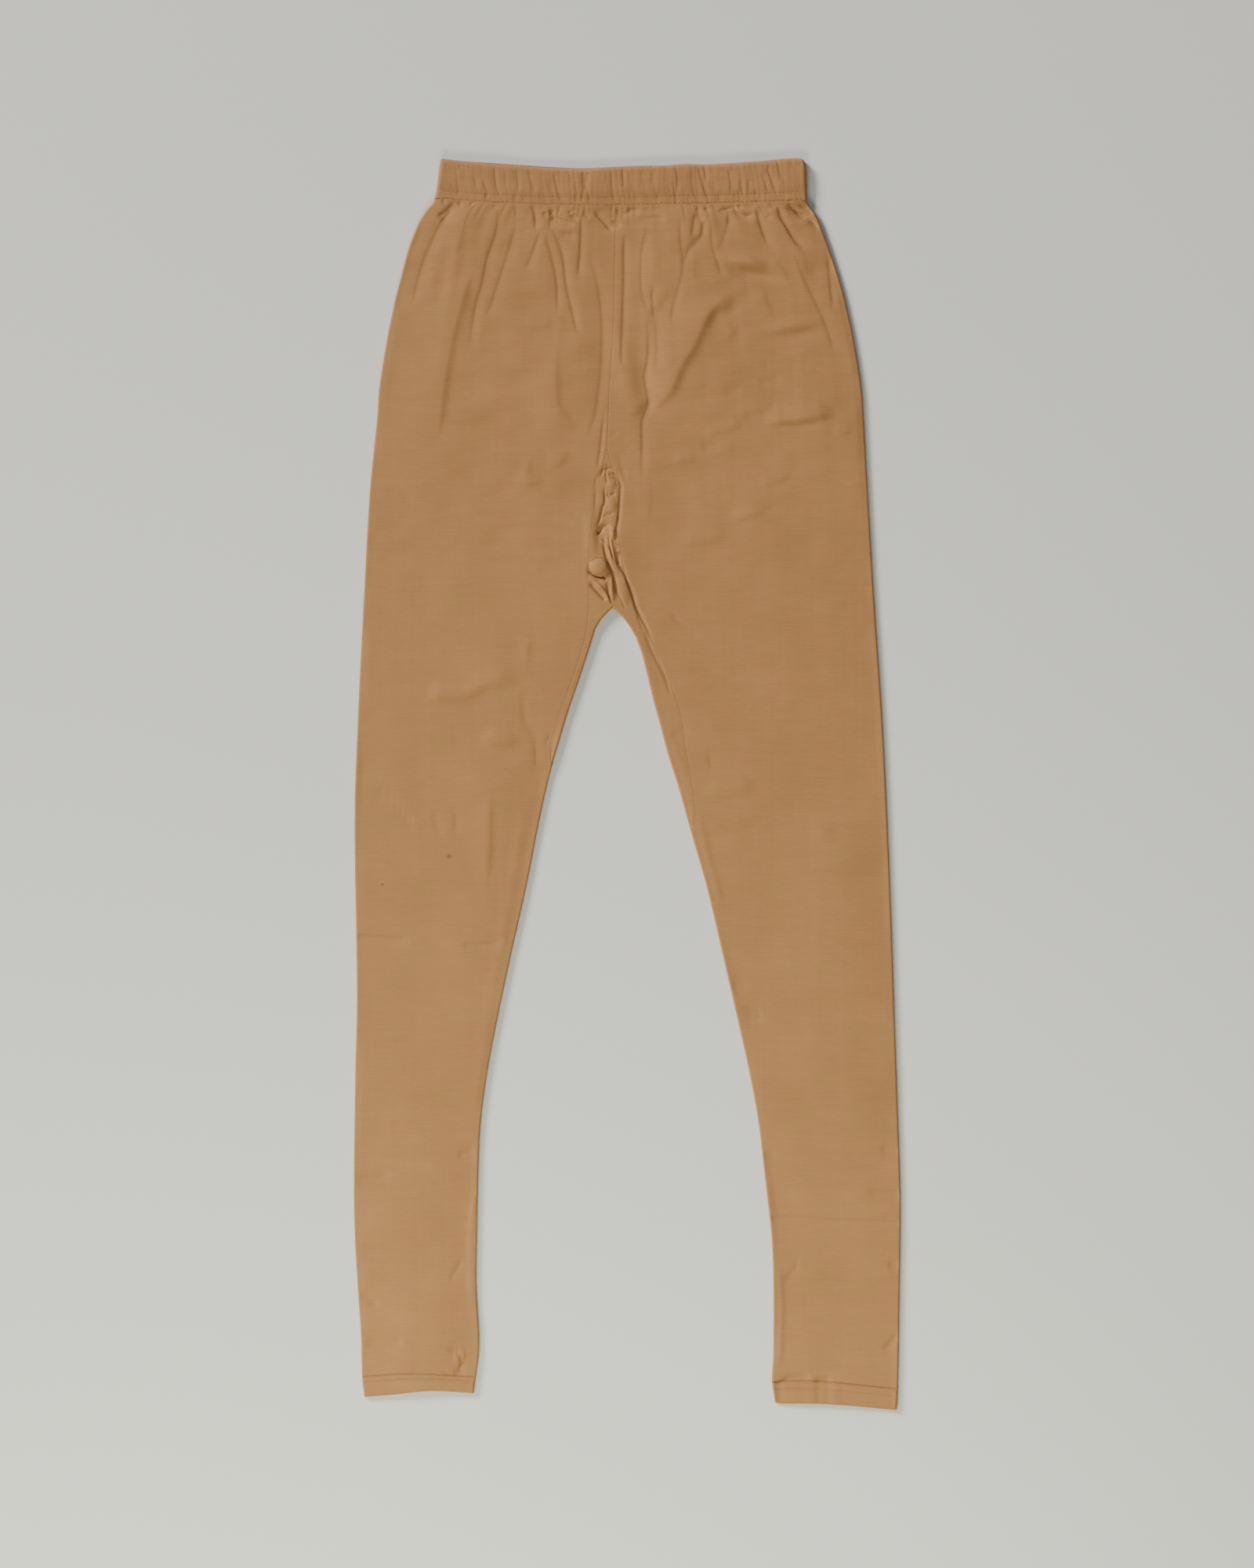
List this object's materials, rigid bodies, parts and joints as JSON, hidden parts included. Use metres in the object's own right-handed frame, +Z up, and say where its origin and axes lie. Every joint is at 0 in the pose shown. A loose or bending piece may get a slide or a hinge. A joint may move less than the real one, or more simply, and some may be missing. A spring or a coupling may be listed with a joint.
{
  "type": "leggings",
  "caption": "Full-length pull-on jersey leggings laid flat, front up, with a gathered elastic waistband, a crotch gusset and turned hems at the ankles.",
  "frame": {"origin": "centre of the bounding box, on the surface that the leggings lie on", "axes": "+Y points from the hems to the waistband, +X to the wearer's left as the front faces up, +Z up from the surface"},
  "size_m": [0.4461, 1.0217, 0.0071],
  "materials": {
    "waistband": "matte camel cotton stretch jersey, gathered over elastic",
    "leg": "matte camel cotton stretch jersey with fine slubs across",
    "gusset": "matte camel cotton stretch jersey, crumpled",
    "hem": "matte camel cotton stretch jersey, turned up and stitched in two rows"
  },
  "bodies": {
    "root": {"waistband": "waistband", "leg_right": "leg", "leg_left": "leg", "gusset": "gusset", "hem_right": "hem", "hem_left": "hem"}
  },
  "joints": []
}
